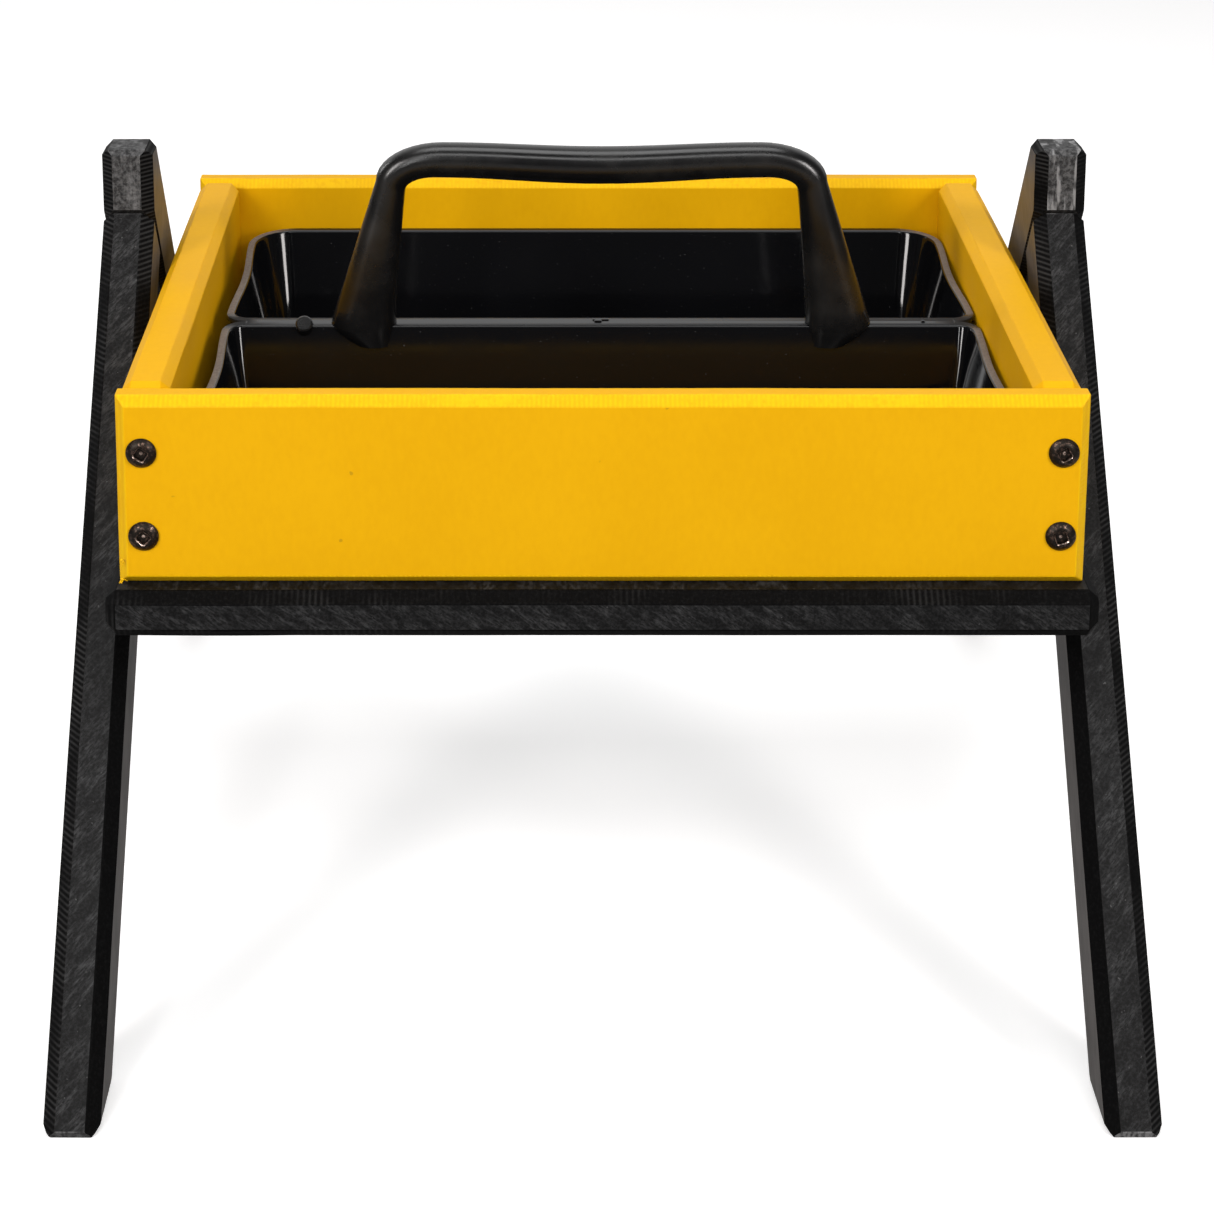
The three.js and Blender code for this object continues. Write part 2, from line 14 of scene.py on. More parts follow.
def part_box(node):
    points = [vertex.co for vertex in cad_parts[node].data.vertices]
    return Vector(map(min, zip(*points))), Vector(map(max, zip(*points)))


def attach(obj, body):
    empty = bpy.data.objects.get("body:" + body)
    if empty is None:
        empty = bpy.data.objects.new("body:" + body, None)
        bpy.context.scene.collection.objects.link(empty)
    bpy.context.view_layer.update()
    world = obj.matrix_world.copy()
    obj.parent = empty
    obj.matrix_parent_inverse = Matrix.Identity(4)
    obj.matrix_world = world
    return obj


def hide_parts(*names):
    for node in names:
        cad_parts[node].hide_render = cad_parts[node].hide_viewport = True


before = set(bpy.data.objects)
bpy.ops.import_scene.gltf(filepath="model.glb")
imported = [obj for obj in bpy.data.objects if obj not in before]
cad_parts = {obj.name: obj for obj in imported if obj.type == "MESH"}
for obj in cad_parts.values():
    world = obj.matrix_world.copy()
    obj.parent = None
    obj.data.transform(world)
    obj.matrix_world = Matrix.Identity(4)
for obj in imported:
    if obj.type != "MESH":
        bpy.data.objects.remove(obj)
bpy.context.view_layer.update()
noise.seed_set(1)  # noise_vector, which is seeded by the clock otherwise, now repeats itself

MM = 0.001
TRAY_BOARDS = ("front_board", "rear_board", "left_side_board", "right_side_board")
LEGS = ("front_leg_left", "front_leg_right", "rear_leg_left", "rear_leg_right")


# ---- Shader helpers -----------------------------------------------------------------------
class Graph:
    """Adds shader nodes to a material or world and links them in short calls."""

    def __init__(self, owner):
        owner.use_nodes = True
        self.tree = owner.node_tree
        self.tree.nodes.clear()

    def add(self, kind, *args, **inputs):
        """A node of that kind. Inputs are given by name (spaces as _) or by position."""
        settings = inputs.pop("settings", {})
        node = self.tree.nodes.new("ShaderNode" + kind)
        for key, value in settings.items():
            setattr(node, key, value)
        for i, value in enumerate(args):
            self.put(node.inputs[i], value)
        for key, value in inputs.items():
            self.put(node.inputs[key.replace("_", " ")], value)
        return node

    def put(self, socket, value):
        """Links a node's first output or a socket to an input, or sets the input's own value."""
        if isinstance(value, bpy.types.Node):
            value = value.outputs[0]
        if isinstance(value, bpy.types.NodeSocket):
            self.tree.links.new(value, socket)
        elif value is not None:
            socket.default_value = value

    def math(self, operation, *args, clamp=False):
        """One arithmetic step."""
        return self.add("Math", *args, settings={"operation": operation, "use_clamp": clamp})

    def ramp(self, value, low, high):
        """0 below low, 1 above high, smooth between."""
        node = self.add("MapRange", settings={"interpolation_type": "SMOOTHSTEP"})
        for i, part in enumerate((value, low, high, 0.0, 1.0)):
            self.put(node.inputs[i], part)
        return node

    def mix(self, factor, first, second):
        """A colour mix."""
        node = self.add("Mix", settings={"data_type": "RGBA"})
        self.put(node.inputs[0], factor)
        self.put(node.inputs[6], first)
        self.put(node.inputs[7], second)
        return node.outputs[2]

    def place(self, turn=(0, 0, 0), stretch=(1, 1, 1)):
        """Object coordinates, turned by degrees and stretched. Every piece has the frame's own
        origin, so they are one set of coordinates for the whole object at rest."""
        coords = self.add("TexCoord").outputs["Object"]
        angles = [math.radians(a) for a in turn]
        turned = self.add("Mapping", coords, Rotation=angles)
        return self.add("Mapping", turned, Scale=stretch)

    def noise(self, scale, detail=3.0, rough=0.55, turn=(0, 0, 0), stretch=(1, 1, 1)):
        """Cloudy noise from 0 to 1, about 0.5."""
        where = self.place(turn, stretch)
        return self.add("TexNoise", Vector=where, Scale=scale, Detail=detail, Roughness=rough)

    def bump(self, height, distance_mm, strength=1.0, after=None):
        """A bumped normal, on top of another one where `after` is given."""
        node = self.add("Bump", Height=height, Distance=distance_mm * MM, Strength=strength)
        if after is not None:
            self.put(node.inputs["Normal"], after)
        return node

    def surface(self, colour, roughness, normal=None, **inputs):
        """The finished surface, led to the output."""
        shader = self.add("BsdfPrincipled", Base_Color=colour, Roughness=roughness, **inputs)
        if normal is not None:
            self.put(shader.inputs["Normal"], normal)
        self.add("OutputMaterial", Surface=shader)


def material(name):
    """A new material and the graph to fill it with."""
    made = bpy.data.materials.new(name)
    return made, Graph(made)


# ---- Materials ----------------------------------------------------------------------------
YELLOW = (0.775, 0.405, 0.0012, 1)
YELLOW_DEEP = (0.735, 0.375, 0.001, 1)
YELLOW_CUT = (0.83, 0.49, 0.0015, 1)
# painted shade for the grooves of the cutter marks on the yellow chamfers
YELLOW_GROOVE_PAINTED_SHADE = (0.76, 0.405, 0.001, 1)
YELLOW_SPECK = (0.32, 0.17, 0.01, 1)
SKIN_BLACK = (0.0028, 0.0029, 0.003, 1)
SKIN_SCUFF = (0.056, 0.0565, 0.058, 1)
SKIN_SPECK = (0.30, 0.30, 0.30, 1)
CUT_BLACK = (0.0015, 0.0015, 0.0016, 1)
CUT_GRAIN = (0.007, 0.007, 0.0072, 1)
# painted highlight for the crests of the cutter marks on the black chamfers
CUT_CREST_PAINTED_HIGHLIGHT = (0.075, 0.075, 0.075, 1)
ROLLED_DARK = (0.046, 0.042, 0.040, 1)
ROLLED_PALE = (0.112, 0.102, 0.097, 1)
SAWN_DARK = (0.011, 0.011, 0.0114, 1)
SAWN_PALE = (0.22, 0.22, 0.222, 1)
SAWN_STAIN = (0.006, 0.006, 0.006, 1)
GLOSS_BLACK = (0.0025, 0.0026, 0.0032, 1)
GLOSS_DUST = (0.16, 0.16, 0.16, 1)
DIVIDER_BLACK = (0.018, 0.019, 0.021, 1)
LIP_DARK = (0.13, 0.105, 0.088, 1)
LIP_PALE = (0.20, 0.168, 0.145, 1)
SATIN_BLACK = (0.004, 0.004, 0.0043, 1)
SATIN_HAZE = (0.011, 0.0105, 0.01, 1)
OXIDE = (0.02, 0.016, 0.013, 1)
OXIDE_WORN = (0.16, 0.10, 0.075, 1)
# painted highlight colours for the glints on a screw recess's rim and bottom
GLINT_DARK = (0.16, 0.11, 0.085, 1)
GLINT_BRIGHT = (0.95, 0.74, 0.64, 1)


def painted_ridge_shading(g, axis, pitch_mm, patches):
    """Painted light and shade of the cutter marks across a long chamfer, 0 to 1: stripes that
    stand for the lit crests and shaded grooves of the scallops. They die away in patches, which
    grow as
    `patches` rises from 0.3 to 0.5."""
    coords = g.add("TexCoord").outputs["Object"]
    along = g.add("SeparateXYZ", coords).outputs[axis]
    drift = g.math("MULTIPLY", g.noise(30, detail=2), 1.6)
    turn = g.math("ADD", g.math("MULTIPLY", along, 2 * math.pi / (pitch_mm * MM)), drift)
    wave = g.math("MULTIPLY_ADD", g.math("SINE", turn), 0.5, 0.5)
    return g.math("MULTIPLY", wave, g.ramp(g.noise(24, detail=4), patches, 0.62))


def yellow_face():
    """Skin of the yellow sheet: softly clouded and woven, with a fine orange peel."""
    made, g = material("yellow_board_face")
    cloud = g.noise(14, detail=4, rough=0.5)
    weave = g.noise(330, detail=3, rough=0.6, stretch=(1, 1, 0.5))
    shade = g.math("ADD", g.math("MULTIPLY", cloud, 0.6), g.math("MULTIPLY", weave, 0.4))
    colour = g.mix(g.ramp(shade, 0.3, 0.7), YELLOW_DEEP, YELLOW)
    specks = g.ramp(g.noise(150, detail=1), 0.79, 0.83)
    colour = g.mix(g.math("MULTIPLY", specks, 0.5), colour, YELLOW_SPECK)
    rough = g.add("MapRange", cloud, 0.3, 0.7, 0.44, 0.56)
    normal = g.bump(g.noise(900, detail=2), 0.05, 0.5)
    g.surface(colour, rough, normal, Specular_IOR_Level=0.1)
    return made


def yellow_cut():
    """Chamfers of the yellow sheet: brighter than the faces, with cutter marks across, whose
    grooves get painted shade as darker stripes.
    """
    made, g = material("yellow_board_cut")
    wave = painted_ridge_shading(g, "X", 2.3, 0.3)
    streak = g.noise(500, detail=2, stretch=(1, 1, 0.2))
    bright = g.mix(g.ramp(streak, 0.2, 0.6), YELLOW, YELLOW_CUT)
    # painted shade: darker stripes where the grooves between the scallops would be shaded
    colour = g.mix(g.math("MULTIPLY", wave, 0.85), bright, YELLOW_GROOVE_PAINTED_SHADE)
    normal = g.bump(streak, 0.05, 0.6)
    g.surface(colour, 0.42, normal, Specular_IOR_Level=0.12)
    return made


def black_face(name, streak_turn, scuff=1.0):
    """Skin of the black sheet: slanting fibrous scuffs and pale specks over near black.

    streak_turn, in degrees, sets the way the scuffs run.
    """
    made, g = material(name)
    fibres = g.noise(230, detail=4, rough=0.75, turn=streak_turn, stretch=(4, 0.9, 0.9))
    blotch = g.noise(75, detail=3, turn=streak_turn, stretch=(3, 0.8, 0.8))
    cloud = g.noise(22, detail=4)
    wear = g.math("MULTIPLY", g.ramp(fibres, 0.4, 0.66), g.ramp(blotch, 0.38, 0.6))
    wear = g.math("MULTIPLY", wear, g.add("MapRange", cloud, 0.3, 0.65, 0.35, 1.0))
    fine = g.ramp(g.noise(620, detail=3, rough=0.7), 0.4, 0.7)
    dust = g.math("ADD", g.math("MULTIPLY", wear, 0.9), g.math("MULTIPLY", fine, 0.24))
    dust = g.math("MULTIPLY", dust, scuff)
    colour = g.mix(dust, SKIN_BLACK, SKIN_SCUFF)
    specks = g.ramp(g.noise(560, detail=1), 0.74, 0.79)
    colour = g.mix(g.math("MULTIPLY", specks, 0.22 * scuff), colour, SKIN_SPECK)
    rough = g.add("MapRange", dust, 0.0, 1.0, 0.5, 0.8)
    grain = g.bump(g.noise(800, detail=4, rough=0.7), 0.14, 0.6)
    normal = g.bump(fibres, 0.16, 0.6, after=grain)
    g.surface(colour, rough, normal, Specular_IOR_Level=0.13)
    return made


def black_cut(name, axis, pitch_mm, crest_highlight_strength, patches):
    """Chamfers of the black sheet: nearly black, with a painted highlight on the crests of the
    cutter marks across; the strength argument sets how pale it is. On the legs, whose marks run
    up Z, the lower inner chamfers, which lie in shade, have no painted highlight."""
    made, g = material(name)
    grain = g.noise(650, detail=4, rough=0.75)
    colour = g.mix(g.ramp(grain, 0.45, 0.75), CUT_BLACK, CUT_GRAIN)
    # painted highlight: pale crests of the cutter marks, where the scallops would catch the light
    painted_crest_highlight = g.math("POWER", painted_ridge_shading(g, axis, pitch_mm, patches), 2.0)
    # the painted highlight is left off the lower inner chamfers of the legs, which lie in shade
    if axis == "Z":
        place = g.add("SeparateXYZ", g.add("TexCoord").outputs["Object"])
        outer = g.ramp(g.math("ABSOLUTE", place.outputs["X"]), 0.255, 0.257)
        upper = g.ramp(place.outputs["Z"], 0.26, 0.3)
        painted_crest_highlight = g.math("MULTIPLY", painted_crest_highlight, g.math("MAXIMUM", outer, upper))
    colour = g.mix(g.math("MULTIPLY", painted_crest_highlight, crest_highlight_strength), colour, CUT_CREST_PAINTED_HIGHLIGHT)
    normal = g.bump(grain, 0.14, 0.7)
    g.surface(colour, 0.65, normal, Specular_IOR_Level=0.05)
    return made


def black_smooth():
    """Sides of the black sheet as rolled: even, warm dark grey with a soft sheen."""
    made, g = material("black_board_side")
    haze = g.noise(18, detail=5)
    streak = g.noise(160, detail=4, turn=(36, 0, 0), stretch=(1, 2.5, 0.3))
    shade = g.math("ADD", g.math("MULTIPLY", haze, 0.5), g.math("MULTIPLY", streak, 0.5))
    colour = g.mix(g.ramp(shade, 0.34, 0.66), ROLLED_DARK, ROLLED_PALE)
    normal = g.bump(g.noise(500, detail=3), 0.05, 0.5)
    g.surface(colour, 0.45, normal, Specular_IOR_Level=0.7)
    return made


def black_sawn():
    """Sawn upper ends of the legs: mottled grey with pale dragged streaks."""
    made, g = material("black_board_sawn")
    mottle = g.noise(380, detail=5, rough=0.75)
    drag = g.noise(95, detail=4, stretch=(2.4, 1, 0.3))
    side = g.add("SeparateXYZ", g.add("TexCoord").outputs["Object"]).outputs["X"]
    more = g.add("MapRange", side, -0.2, 0.2, 0.3, 1.8)  # the right frame is the paler one
    pale = g.math("MULTIPLY", g.ramp(drag, 0.46, 0.66), more)
    dust = g.math("ADD", g.math("MULTIPLY", g.ramp(mottle, 0.36, 0.7), 0.45), pale, clamp=True)
    colour = g.mix(dust, SAWN_DARK, SAWN_PALE)
    stain = g.ramp(g.noise(48, detail=3), 0.62, 0.68)
    colour = g.mix(g.math("MULTIPLY", stain, 0.8), colour, SAWN_STAIN)
    normal = g.bump(mottle, 0.2, 0.7)
    g.surface(colour, 0.62, normal, Specular_IOR_Level=0.25)
    return made


MOULD_LEAN = 0.16  # added to the height of an upright wall's normal


def gloss_plastic():
    """Moulded gloss black, with a matte trimmed lip and divider top where the mesh marks them.

    The normal is tipped up a little, as on the flaring walls of a vacuum moulding.
    """
    made, g = material("gloss_black_plastic")
    lip = g.add("Attribute", settings={"attribute_name": "trimmed_lip"}).outputs["Fac"]
    ridge = g.add("Attribute", settings={"attribute_name": "divider_top"}).outputs["Fac"]
    haze = g.noise(22, detail=5)
    gloss_rough = g.add("MapRange", haze, 0.35, 0.75, 0.06, 0.15)
    dust = g.math("MULTIPLY", g.ramp(g.noise(900, detail=1), 0.76, 0.79), 0.22)
    body = g.mix(dust, GLOSS_BLACK, GLOSS_DUST)
    fibre = g.noise(700, detail=3, rough=0.7)
    trim = g.mix(g.ramp(fibre, 0.3, 0.7), LIP_DARK, LIP_PALE)
    colour = g.mix(lip, g.mix(ridge, body, DIVIDER_BLACK), trim)
    matte = g.math("MAXIMUM", lip, ridge)
    rough = g.add("MapRange", matte, 0.0, 1.0, gloss_rough, 0.62)
    shine = g.add("MapRange", matte, 0.0, 1.0, 0.34, 0.1)
    wave = g.bump(g.noise(14, detail=1), 0.25, 0.3)
    fine = g.bump(g.noise(260, detail=2), 0.01, 0.5, after=wave)
    level = g.math("ABSOLUTE", g.add("SeparateXYZ", fine).outputs["Z"])
    upright = g.math("SUBTRACT", 1.0, level)
    lift = g.add("CombineXYZ", 0.0, 0.0, g.math("MULTIPLY", upright, MOULD_LEAN))
    tipped = g.add("VectorMath", fine, lift, settings={"operation": "ADD"})
    normal = g.add("VectorMath", tipped, settings={"operation": "NORMALIZE"})
    g.surface(colour, rough, normal, Specular_IOR_Level=shine)
    return made


def satin_plastic():
    """Moulded satin black of the handle, finely textured and hazed by handling."""
    made, g = material("satin_black_plastic")
    haze = g.noise(30, detail=5, rough=0.6)
    colour = g.mix(g.ramp(haze, 0.4, 0.75), SATIN_BLACK, SATIN_HAZE)
    rough = g.add("MapRange", haze, 0.3, 0.75, 0.2, 0.34)
    normal = g.bump(g.noise(1100, detail=2), 0.03, 0.6)
    g.surface(colour, rough, normal)
    return made


def black_oxide():
    """Screws: black oxide steel, rubbed back to bronze on the high spots."""
    made, g = material("black_oxide")
    wear_and_glint = g.ramp(g.noise(700, detail=4, rough=0.7), 0.5, 0.7)
    colour = g.mix(wear_and_glint, OXIDE, OXIDE_WORN)
    rough = g.add("MapRange", wear_and_glint, 0.0, 1.0, 0.42, 0.22)
    normal = g.bump(g.noise(1500, detail=2), 0.02, 0.5)
    g.surface(colour, rough, normal, Metallic=0.9)
    return made


def painted_recess_glint():
    """The rim and bottom of a screw's recess: painted highlights, as pinkish bronze glints."""
    made, g = material("black_oxide_recess_painted_glint")
    wear_and_glint = g.ramp(g.noise(900, detail=3), 0.4, 0.6)
    colour = g.mix(wear_and_glint, GLINT_DARK, GLINT_BRIGHT)
    g.surface(colour, 0.28, Metallic=1.0)
    return made


# ---- Mesh helpers -------------------------------------------------------------------------
def to_object(name, bm):
    """A mesh under construction as an object in the scene."""
    mesh = bpy.data.meshes.new(name)
    bm.to_mesh(mesh)
    bm.free()
    made = bpy.data.objects.new(name, mesh)
    bpy.context.scene.collection.objects.link(made)
    return made


def to_piece(node, bm, body, materials, sharp_from=None):
    """A finished mesh as the piece that stands for a CAD node and rides on its body. It is
    shaded smooth between edges of at least sharp_from degrees, or flat where none is given."""
    bmesh.ops.recalc_face_normals(bm, faces=bm.faces)
    piece = to_object(node + "_finished", bm)
    mesh = piece.data
    for made in materials:
        mesh.materials.append(made)
    mesh.polygons.foreach_set("use_smooth", [sharp_from is not None] * len(mesh.polygons))
    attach(piece, body)
    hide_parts(node)
    if sharp_from is not None:
        mesh.set_sharp_from_angle(angle=math.radians(sharp_from))


def loft(bm, rings, material_index=0):
    """Closes a stack of rings into a solid: quads between them, then a face on either end."""
    made = []
    for low, high in zip(rings, rings[1:]):
        for i in range(len(low)):
            j = (i + 1) % len(low)
            made.append(bm.faces.new((low[i], low[j], high[j], high[i])))
    made += [bm.faces.new(rings[0]), bm.faces.new(rings[-1])]
    for face in made:
        face.material_index = material_index


def combine(base, others, operation):
    """A base object joined with or cut by others, as a mesh under construction. The objects
    are used up."""
    for other in others:
        step = base.modifiers.new("combine", "BOOLEAN")
        step.operation, step.solver, step.object = operation, "EXACT", other
    evaluated = base.evaluated_get(bpy.context.evaluated_depsgraph_get())
    bm = bmesh.new()
    bm.from_mesh(evaluated.to_mesh())
    for spent in (base, *others):
        bpy.data.objects.remove(spent)
    return bm


def cad_copy(node):
    """A CAD node's solid with its flat faces whole again instead of in triangles."""
    bm = bmesh.new()
    bm.from_mesh(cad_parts[node].data)
    bmesh.ops.remove_doubles(bm, verts=bm.verts, dist=0.02 * MM)
    bmesh.ops.dissolve_limit(bm, angle_limit=math.radians(0.6), verts=bm.verts, edges=bm.edges)
    return bm


def soften(bm, width, least_edge):
    """Rounds every real edge of a solid by a small width; short edges, as on holes, stay."""
    edges = [
        e for e in bm.edges
        if e.calc_length() > least_edge and e.calc_face_angle(0) > math.radians(10)
    ]
    bmesh.ops.bevel(
        bm, geom=edges, offset=width, segments=2, profile=0.5,
        affect="EDGES", clamp_overlap=True, offset_type="OFFSET",
    )


STEPS_PER_SCALLOP = 4
LEAST_SCALLOPS = 12  # chamfers too short for these are left plain


def chatter(bm, face, pitch, depth, phase):
    """Turns a long four-sided chamfer into a strip of shallow scallops, as a cutter leaves."""
    loops = sorted(face.loops, key=lambda l: l.edge.calc_length())
    if len(face.verts) != 4 or loops[-1].edge.calc_length() < LEAST_SCALLOPS * pitch:
        return
    long_a, long_b = loops[-1].edge, loops[-2].edge
    if set(long_a.verts) & set(long_b.verts):
        return
    material_index = face.material_index
    normal = face.normal.copy()
    a0, a1 = long_a.verts
    b0, b1 = long_b.verts
    straight = (a0.co - b0.co).length + (a1.co - b1.co).length
    crossed = (a0.co - b1.co).length + (a1.co - b0.co).length
    if straight > crossed:
        b0, b1 = b1, b0
    count = round(long_a.calc_length() / (pitch / STEPS_PER_SCALLOP))

    def split(start, end):
        """Cuts the edge between two points into equal parts and gives its points in order."""
        line = [start]
        for i in range(1, count):
            left = count - i + 1
            edge = next(e for e in line[-1].link_edges if end in e.verts)
            _, point = bmesh.utils.edge_split(edge, line[-1], 1 / left)
            line.append(point)
        return line + [end]

    side_a = split(a0, a1)
    side_b = split(b0, b1)
    bmesh.ops.delete(bm, geom=[face], context="FACES_ONLY")

    def middle(i):
        """A point on the strip's midline, sunk by the scallops, which fade at both ends."""
        a, b = side_a[i], side_b[i]
        share = i / count
        swell = math.sin(math.pi * share) ** 0.35
        wave = 0.5 - 0.5 * math.cos(2 * math.pi * i / STEPS_PER_SCALLOP + phase)
        rough = 0.75 + 0.6 * noise.noise(a.co * 55)
        sink = depth * swell * wave * max(rough, 0.1)
        return (a.co + b.co) / 2 - normal * sink

    inner = []
    for i in range(count + 1):
        if i in (0, count):
            edge = next(e for e in side_a[i].link_edges if side_b[i] in e.verts)
            point = bmesh.utils.edge_split(edge, side_a[i], 0.5)[1]
        else:
            point = bm.verts.new(middle(i))
        inner.append(point)
    for i in range(count):
        for first, second in ((side_a, inner), (inner, side_b)):
            made = bm.faces.new((first[i], first[i + 1], second[i + 1], second[i]))
            made.material_index = material_index


def waver(bm, amount, scale, seed):
    """Bends a cut board a little off true, in slow waves."""
    shift = Vector((seed * 7.1, seed * 3.3, seed * 1.7))
    for v in bm.verts:
        v.co += noise.noise_vector(v.co * scale + shift) * amount


# ---- Boards and legs ----------------------------------------------------------------------
BOARD_ROUNDING = 0.45 * MM
LEAST_EDGE = 2.2 * MM  # shorter edges, as round the screw holes, stay sharp
LEAST_CHAMFER = 40 * MM * MM  # the area from which a chamfer gets scallops
CHAMFER = 1  # the material index of chamfers, on every board
TRAY_PITCH = 2.3 * MM
LEG_PITCH = 2.9 * MM
CHATTER_DEPTH = 0.24 * MM
SHELF_CHATTER_DEPTH = 0.2 * MM
WAVER = 0.35 * MM
BURRS = ((1, 0.3, 3.2), (13, 2.2, 2.6), (3, 2.9, 2.2))  # height (mm), turn (radians), reach (mm)


def tray_kind(normal):
    """0 on a face square to the axes, 1 on a chamfer."""
    return 0 if max(abs(c) for c in normal) > 0.98 else CHAMFER


def leg_kind(normal):
    """0 front and rear skins, 1 chamfers, 2 rolled sides, 3 sawn ends."""
    if abs(normal.x) > 0.98:
        return 2
    if abs(normal.x) > 0.02:
        return CHAMFER
    sloped = 0.5 < abs(normal.z) < 0.66  # the two long skins
    return 0 if sloped else 3


def finish_board(node, materials, kind, seed, pitch=TRAY_PITCH, depth=CHATTER_DEPTH):
    """A board or leg worked up from its CAD solid: softened edges, tooled chamfers."""
    bm = cad_copy(node)
    bm.normal_update()
    soften(bm, BOARD_ROUNDING, LEAST_EDGE)
    bm.normal_update()
    for f in bm.faces:
        f.material_index = kind(f.normal)
    chamfers = [
        f for f in bm.faces if f.material_index == CHAMFER and f.calc_area() > LEAST_CHAMFER
    ]
    for i, f in enumerate(chamfers):
        chatter(bm, f, pitch, depth, phase=1.3 * i)
    waver(bm, WAVER, 14, seed)
    if node == "front_board":
        low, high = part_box(node)
        for lift, turn, reach in BURRS:
            start = Vector((low.x + 1.2 * MM, low.y + 0.4 * MM, low.z + lift * MM))
            curl(bm, start, turn, reach * MM)
    to_piece(node, bm, "stand", materials)


def curl(bm, start, turn, reach):
    """A small burr left hanging where the cutter came out of a corner."""
    rings = []
    for i in range(9):
        share = i / 8
        bend = turn + 2.4 * share
        middle = start + Vector((-math.cos(bend), -0.3, math.sin(bend))) * reach * share
        radius = (0.55 - 0.4 * share) * MM
        ring = []
        for a in (0, math.pi / 2, math.pi, 3 * math.pi / 2):
            outward = Vector((math.cos(a), math.sin(a), 0.4 * math.sin(a)))
            ring.append(bm.verts.new(middle + outward * radius))
        rings.append(ring)
    loft(bm, rings, CHAMFER)


def build_tray():
    skin, cut = yellow_face(), yellow_cut()
    for seed, node in enumerate(TRAY_BOARDS):
        materials = [skin, skin if "side" in node else cut]
        finish_board(node, materials, tray_kind, seed)


def build_black_boards():
    cut = black_cut("black_board_cut", "Z", 2.35, crest_highlight_strength=0.4, patches=0.25)
    smooth, sawn = black_smooth(), black_sawn()
    for seed, node in enumerate(LEGS):
        lean = 35 if node.startswith("front") else -35
        skin = black_face("black_board_" + node, (lean, -42, 0))
        materials = [skin, cut, smooth, sawn]
        finish_board(node, materials, leg_kind, 10 + seed, pitch=LEG_PITCH)
    skin = black_face("black_board_shelf", (0, 55, 0), scuff=0.8)
    cut = black_cut("black_board_shelf_cut", "X", 2.9, crest_highlight_strength=0.16, patches=0.4)
    finish_board("shelf", [skin, cut], tray_kind, 20, depth=SHELF_CHATTER_DEPTH)


# ---- Screws -------------------------------------------------------------------------------
HEAD_RADIUS = 7.45 * MM
HEAD_HEIGHT = 3.2 * MM
HEAD_EDGE = 0.95 * MM  # the height at which the head's edge turns into its dome
SHANK_RADIUS = 2.35 * MM
POINT_LENGTH = 4 * MM
RECESS_HALF = 2.65 * MM
RECESS_DEPTH = 2.1 * MM
SCREW_STEPS = 40
DOME_STEPS = 6


def squircle(angle, half, sharpness):
    """A point on a rounded square outline, as X and Y."""
    c, s = math.cos(angle), math.sin(angle)
    reach = (abs(c) ** sharpness + abs(s) ** sharpness) ** (-1 / sharpness)
    return c * reach * half, s * reach * half


def screw_mesh(shank_length):
    """A domed washer-head screw with a square recess: head up +Z, underside at the origin."""
    bm = bmesh.new()
    rings = []

    def ring(radius, z, square=0.0):
        """Adds a ring, round or by a share of `square` a rounded square."""
        points = []
        for i in range(SCREW_STEPS):
            angle = 2 * math.pi * i / SCREW_STEPS
            cx, cy = math.cos(angle) * radius, math.sin(angle) * radius
            if square:
                sx, sy = squircle(angle, radius, 9)
                cx, cy = cx + (sx - cx) * square, cy + (sy - cy) * square
            points.append(bm.verts.new((cx, cy, z)))
        rings.append(points)

    ring(0.25 * SHANK_RADIUS, -shank_length)
    ring(SHANK_RADIUS, -shank_length + POINT_LENGTH)
    ring(SHANK_RADIUS, -0.05 * MM)
    ring(HEAD_RADIUS - 0.25 * MM, 0)
    ring(HEAD_RADIUS, 0.2 * MM)
    ring(HEAD_RADIUS, 0.7 * MM)
    ring(HEAD_RADIUS - 0.2 * MM, HEAD_EDGE)
    for i in range(1, DOME_STEPS + 1):
        share = i / DOME_STEPS
        radius = HEAD_RADIUS - 0.2 * MM - (HEAD_RADIUS - 4.1 * MM) * share
        ring(radius, HEAD_EDGE + (HEAD_HEIGHT - 1.05 * MM) * math.sin(share * math.pi / 2))
    ring(RECESS_HALF + 0.45 * MM, HEAD_HEIGHT - 0.03 * MM, 1.0)
    recess_rim = len(rings) - 1
    ring(RECESS_HALF, HEAD_HEIGHT - 0.45 * MM, 1.0)
    ring(0.86 * RECESS_HALF, HEAD_HEIGHT - RECESS_DEPTH, 1.0)
    ring(0.3 * RECESS_HALF, HEAD_HEIGHT - RECESS_DEPTH - 0.35 * MM, 0.3)
    loft(bm, rings)
    bm.faces.ensure_lookup_table()
    # painted highlight: the recess rim ring and the bottom face take the glint material
    for i in range(recess_rim * SCREW_STEPS, (recess_rim + 1) * SCREW_STEPS):
        bm.faces[i].material_index = 1
    bm.faces[-1].material_index = 1
    return bm


def build_screws():
    materials = [black_oxide(), painted_recess_glint()]
    turns = random.Random(11)
    for node in sorted(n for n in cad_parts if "screw" in n):
        low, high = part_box(node)
        axis, length = screw_axis(node)
        bm = screw_mesh(length - HEAD_HEIGHT)
        spin = Matrix.Rotation(turns.uniform(0.25, 1.2), 4, "Z")
        turn = axis.to_track_quat("Z", "Y").to_matrix().to_4x4()
        bmesh.ops.transform(bm, matrix=turn @ spin, verts=bm.verts)
        underside = (low + high) / 2 + axis * (length / 2 - HEAD_HEIGHT)
        bmesh.ops.translate(bm, vec=underside, verts=bm.verts)
        to_piece(node, bm, "stand", materials, sharp_from=38)


